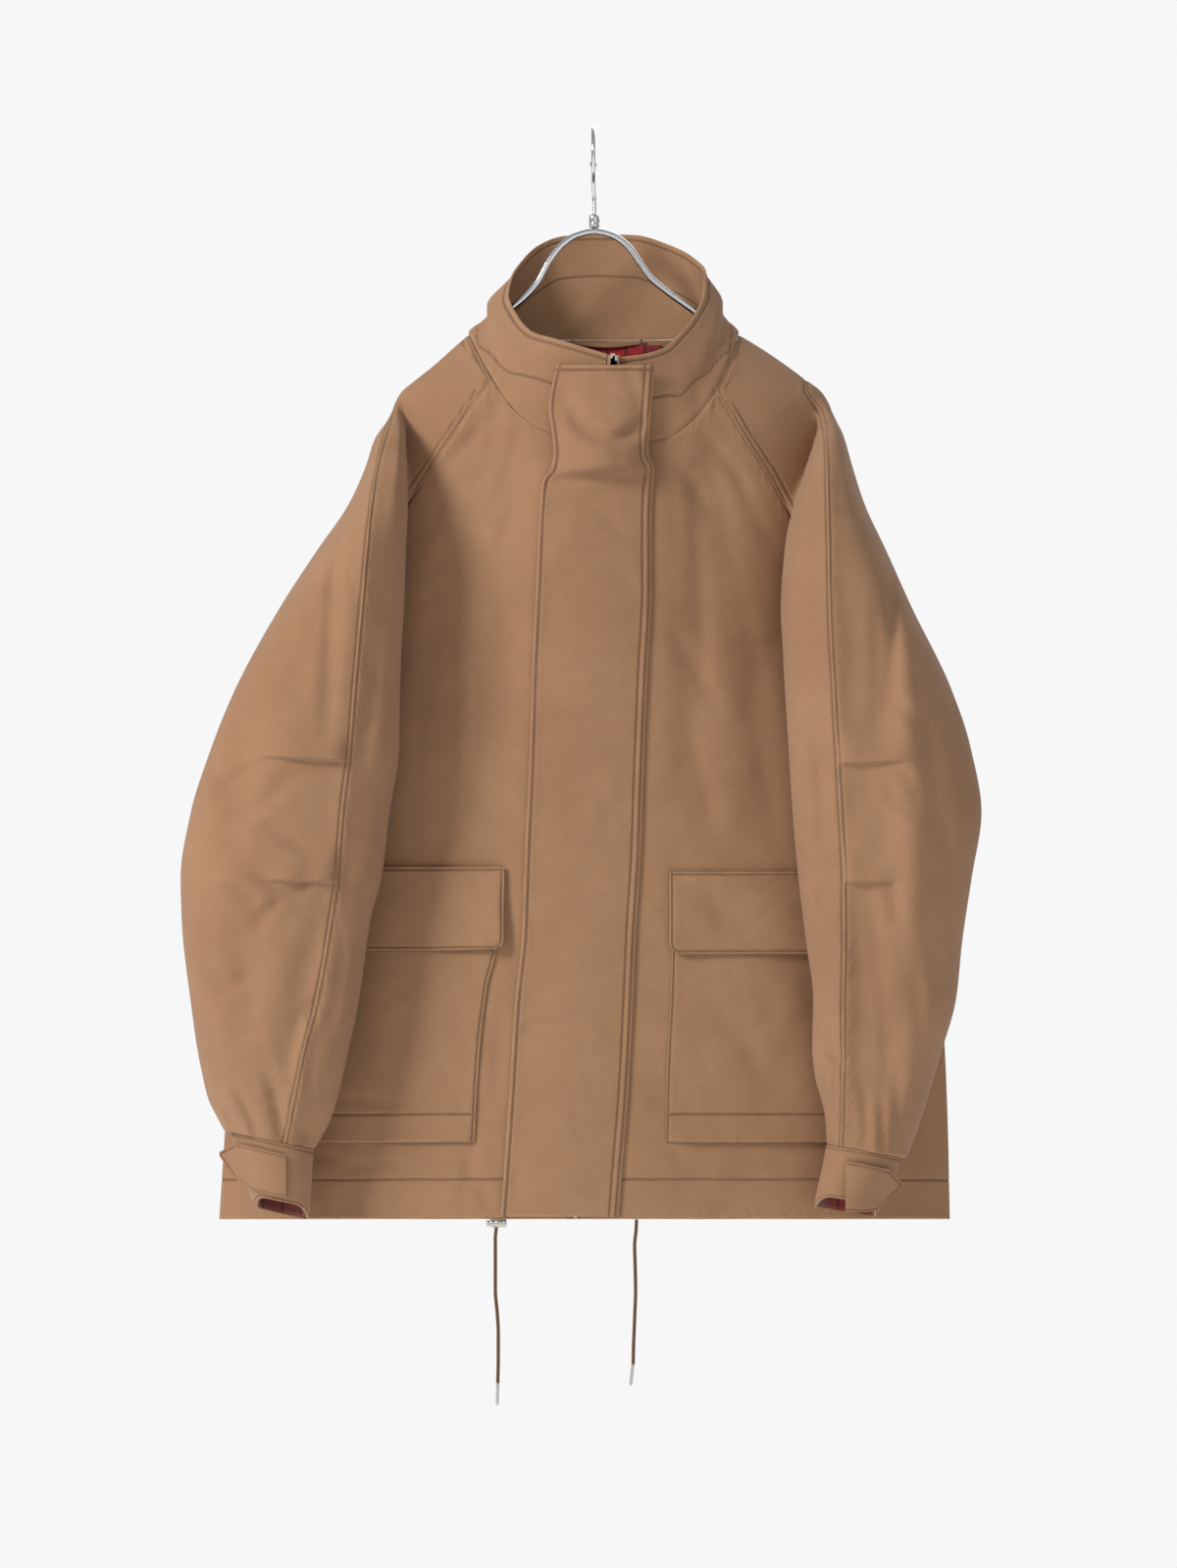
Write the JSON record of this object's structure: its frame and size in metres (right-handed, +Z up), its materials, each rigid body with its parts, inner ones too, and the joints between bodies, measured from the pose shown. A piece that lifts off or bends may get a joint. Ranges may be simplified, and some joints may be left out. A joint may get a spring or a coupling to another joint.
{
  "type": "field jacket on a wire hanger",
  "caption": "Hip-length cotton field jacket with stand collar, raglan sleeves, storm flap over a zip, patch pockets with flaps and a drawcord hem, hung on a chrome hanger.",
  "frame": {"origin": "the highest inside point of the hanger's hook, where it bears on a rail", "axes": "+Z up, the jacket's front faces -Y, the wearer's left is at +X"},
  "size_m": [0.6758, 0.1969, 1.1106],
  "materials": {
    "canvas": "matt cotton twill, camel brown",
    "plaid_lining": "brushed red plaid",
    "chrome": "polished",
    "cord_metal": "satin",
    "cord": "braided, matt"
  },
  "bodies": {
    "root": {"hanger_bar": "chrome", "hanger_ferrule": "chrome", "hanger_hook": "chrome", "collar": "canvas", "front_right": "canvas", "front_left": "canvas", "back": "canvas", "sleeve_front_right": "canvas", "sleeve_back_right": "canvas", "sleeve_front_left": "canvas", "sleeve_back_left": "canvas", "pocket_right": "canvas", "pocket_left": "canvas", "pocket_flap_right": "canvas", "pocket_flap_left": "canvas", "cuff_right": "canvas", "cuff_left": "canvas", "cuff_lining_right": "plaid_lining", "cuff_lining_left": "plaid_lining", "cuff_tab_right": "canvas", "cuff_tab_left": "canvas", "storm_flap": "canvas", "zip": "canvas", "neck_lining": "plaid_lining", "hanger_loop": "canvas", "drawcord_right": "cord", "drawcord_left": "cord", "aglet_right": "cord_metal", "aglet_left": "cord_metal", "cord_lock": "cord_metal", "cord_lock_button": "cord_metal"}
  },
  "joints": []
}
